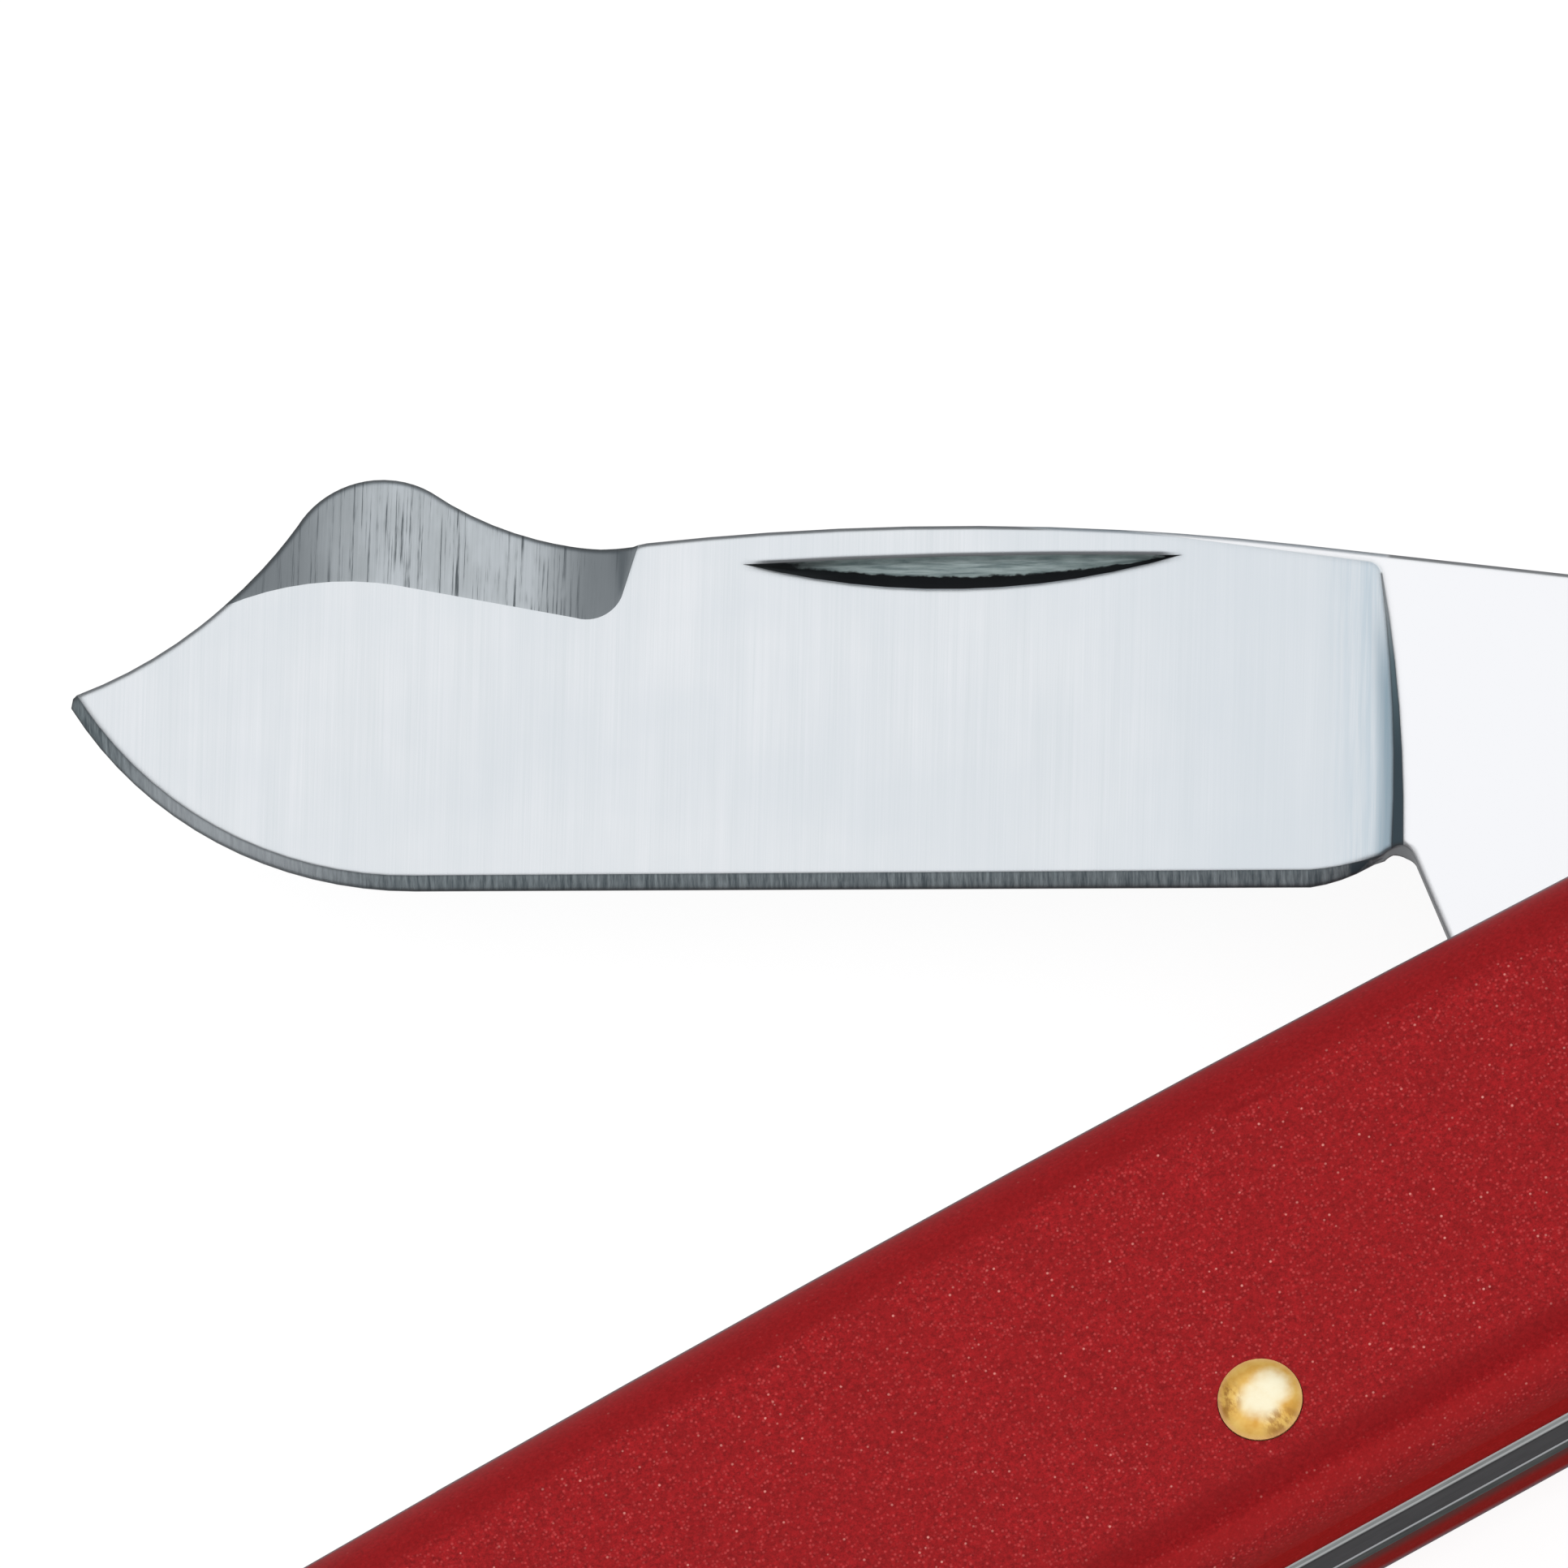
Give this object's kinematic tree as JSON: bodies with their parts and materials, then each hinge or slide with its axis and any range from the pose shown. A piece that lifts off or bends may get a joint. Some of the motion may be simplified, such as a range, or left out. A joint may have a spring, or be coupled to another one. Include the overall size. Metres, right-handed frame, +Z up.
{
  "type": "grafting knife",
  "caption": "Folding grafting knife: one broad blade with a bark lifter ground on its back, riveted nylon scales, metal liners and a back spring.",
  "frame": {"origin": "where the blade's pivot axis meets the flat of the rear scale, the face the knife lies on", "axes": "+X along the handle toward its front end, +Y toward the slot side, +Z up out of the front scale"},
  "size_m": [0.0999, 0.0631, 0.016],
  "materials": {
    "blade_steel": "brushed",
    "spring_steel": "satin",
    "liner_steel": "satin",
    "nylon": "gloss with fine metallic flake",
    "brass": "polished",
    "bronze": "satin"
  },
  "bodies": {
    "handle": {"front_liner": "liner_steel", "rear_liner": "liner_steel", "front_scale": "nylon", "rear_scale": "nylon", "pivot_rivet": "brass", "centre_rivet": "brass", "butt_rivet": "brass", "pivot_collar_front": "brass", "pivot_collar_rear": "brass", "centre_collar_front": "brass", "centre_collar_rear": "brass", "butt_collar_front": "brass", "butt_collar_rear": "brass", "front_pivot_washer": "bronze", "rear_pivot_washer": "bronze"},
    "blade": {"blade": "blade_steel"},
    "spring": {"back_spring": "spring_steel"}
  },
  "joints": [
    {"name": "blade_pivot", "type": "hinge", "parent": "handle", "child": "blade", "pos_m": [0, 0, 0.0076], "axis": [0, 0, -1], "range_deg": [-30, 150]},
    {"name": "spring_flex", "type": "hinge", "parent": "handle", "child": "spring", "pos_m": [-0.0415, -0.00643, 0.0076], "axis": [0, 0, 1], "range_deg": [0, 0.38], "deforming": ["back_spring"]}
  ]
}
